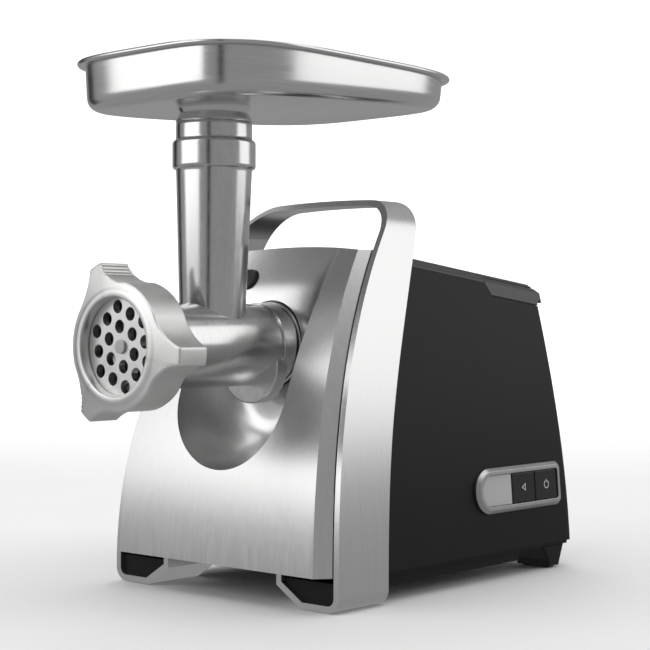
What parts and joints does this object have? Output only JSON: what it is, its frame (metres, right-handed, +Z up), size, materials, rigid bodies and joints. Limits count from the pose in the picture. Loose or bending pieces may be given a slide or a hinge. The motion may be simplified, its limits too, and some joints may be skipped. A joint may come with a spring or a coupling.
{
  "type": "electric meat grinder",
  "caption": "Countertop electric meat grinder with a steel band frame and handle, a detachable grinder head with feed tube and tray, and a side control panel.",
  "frame": {"origin": "centre of the bounding box in plan, on the table under the feet", "axes": "+Z up; +Y from the perforated disc towards the back of the housing, along the worm's axis; +X to the operator's right, the side with the control panel"},
  "size_m": [0.1964, 0.3475, 0.334],
  "materials": {
    "band_steel": "satin, brushed along the band",
    "plate_steel": "satin, fine upright brushing",
    "tray_steel": "polished",
    "cast_alloy": "cast, satin",
    "worm_alloy": "cast, dull",
    "disc_steel": "ground",
    "dark_plastic": "fine matt texture",
    "button_plastic": "satin silver paint",
    "key_plastic": "gloss",
    "bezel_silver": "satin silver paint",
    "inlay_silver": "satin silver paint",
    "foot_rubber": "matt",
    "gear_nylon": "natural nylon",
    "shaft_steel": "ground",
    "socket_plastic": "satin",
    "core_iron": "varnished laminations",
    "copper": "enamelled copper",
    "brass": "sintered",
    "carbon": "dull",
    "board_green": "solder mask"
  },
  "bodies": {
    "base": {"base_plate": "dark_plastic", "bayonet_socket": "socket_plastic", "brush_holders": "brass", "brush_springs": "shaft_steel", "carbon_brushes": "carbon", "control_board": "board_green", "cord_gland": "foot_rubber", "field_coils": "copper", "frame_band": "band_steel", "front_foot_pads": "foot_rubber", "front_plate": "plate_steel", "gearbox_cover": "worm_alloy", "gearbox_housing": "worm_alloy", "gearbox_screws": "shaft_steel", "hinge_knuckles": "dark_plastic", "key_switches": "gear_nylon", "left_foot_block": "dark_plastic", "left_rear_foot": "dark_plastic", "lid_hinge_pin": "shaft_steel", "main_housing": "dark_plastic", "motor_bearings": "shaft_steel", "motor_bracket": "shaft_steel", "motor_cradle": "foot_rubber", "motor_stator": "core_iron", "output_bearing": "shaft_steel", "output_seal": "foot_rubber", "panel_bezel": "bezel_silver", "panel_inlay": "inlay_silver", "plate_surround": "dark_plastic", "rear_foot_pads": "foot_rubber", "right_foot_block": "dark_plastic", "right_rear_foot": "dark_plastic", "shaft_bushes": "brass", "socket_screws": "shaft_steel", "storage_bin": "dark_plastic", "tie_bolts": "shaft_steel", "top_cover": "dark_plastic"},
    "rotor": {"armature_shaft": "shaft_steel", "armature_core": "core_iron", "commutator": "copper", "cooling_fan": "gear_nylon"},
    "first_shaft": {"first_gear": "gear_nylon", "second_pinion_shaft": "shaft_steel"},
    "second_shaft": {"second_gear": "gear_nylon", "third_pinion_shaft": "shaft_steel"},
    "drive": {"output_gear": "shaft_steel", "drive_socket": "shaft_steel", "worm": "worm_alloy", "worm_coupler": "gear_nylon", "coupler_screw": "shaft_steel", "cross_knife": "disc_steel"},
    "head": {"grinder_head": "cast_alloy", "perforated_disc": "disc_steel"},
    "ring": {"locking_ring": "cast_alloy"},
    "hopper": {"tray": "tray_steel"},
    "lid": {"storage_lid": "dark_plastic"},
    "release_key": {"release_button": "button_plastic"},
    "power_key": {"power_button": "key_plastic"},
    "reverse_key": {"reverse_button": "key_plastic"}
  },
  "joints": [
    {"name": "motor_spin", "type": "hinge", "parent": "base", "child": "rotor", "pos_m": [0, 0.0655, 0.07298], "axis": [0, 1, 0], "continuous": true},
    {"name": "first_shaft_spin", "type": "hinge", "parent": "base", "child": "first_shaft", "pos_m": [0.00346, 0.0025, 0.10781], "axis": [0, 1, 0], "continuous": true},
    {"name": "second_shaft_spin", "type": "hinge", "parent": "base", "child": "second_shaft", "pos_m": [-0.03689, -0.0025, 0.11638], "axis": [0, 1, 0], "continuous": true},
    {"name": "worm_spin", "type": "hinge", "parent": "base", "child": "drive", "pos_m": [0, -0.0275, 0.15735], "axis": [0, 1, 0], "continuous": true},
    {"name": "head_turn", "type": "hinge", "parent": "base", "child": "head", "pos_m": [0, -0.0425, 0.15735], "axis": [0, -1, 0], "range_deg": [0, 30]},
    {"name": "ring_unscrew", "type": "hinge", "parent": "head", "child": "ring", "pos_m": [0, -0.1615, 0.15735], "axis": [0, -1, 0], "range_deg": [0, 540]},
    {"name": "tray_lift", "type": "slide", "parent": "head", "child": "hopper", "axis": [0, 0, 1], "range_m": [0, 0.06]},
    {"name": "lid_hinge", "type": "hinge", "parent": "base", "child": "lid", "pos_m": [0, 0.15903, 0.18546], "axis": [-1, 0, 0], "range_deg": [0, 95]},
    {"name": "release_press", "type": "slide", "parent": "base", "child": "release_key", "axis": [0, 0.8277, -0.5611], "range_m": [0, 0.002], "stiffness_N_per_m": 400, "springref_m": -0.003},
    {"name": "power_press", "type": "slide", "parent": "base", "child": "power_key", "axis": [-0.9973, 0, -0.0738], "range_m": [0, 0.002], "stiffness_N_per_m": 500, "springref_m": -0.002},
    {"name": "reverse_press", "type": "slide", "parent": "base", "child": "reverse_key", "axis": [-0.9973, 0, -0.0738], "range_m": [0, 0.002], "stiffness_N_per_m": 500, "springref_m": -0.002}
  ],
  "couplings": [
    {"joint": "first_shaft_spin", "follows": "motor_spin", "ratio": -0.16667},
    {"joint": "second_shaft_spin", "follows": "motor_spin", "ratio": 0.037037},
    {"joint": "worm_spin", "follows": "motor_spin", "ratio": -0.010582}
  ]
}
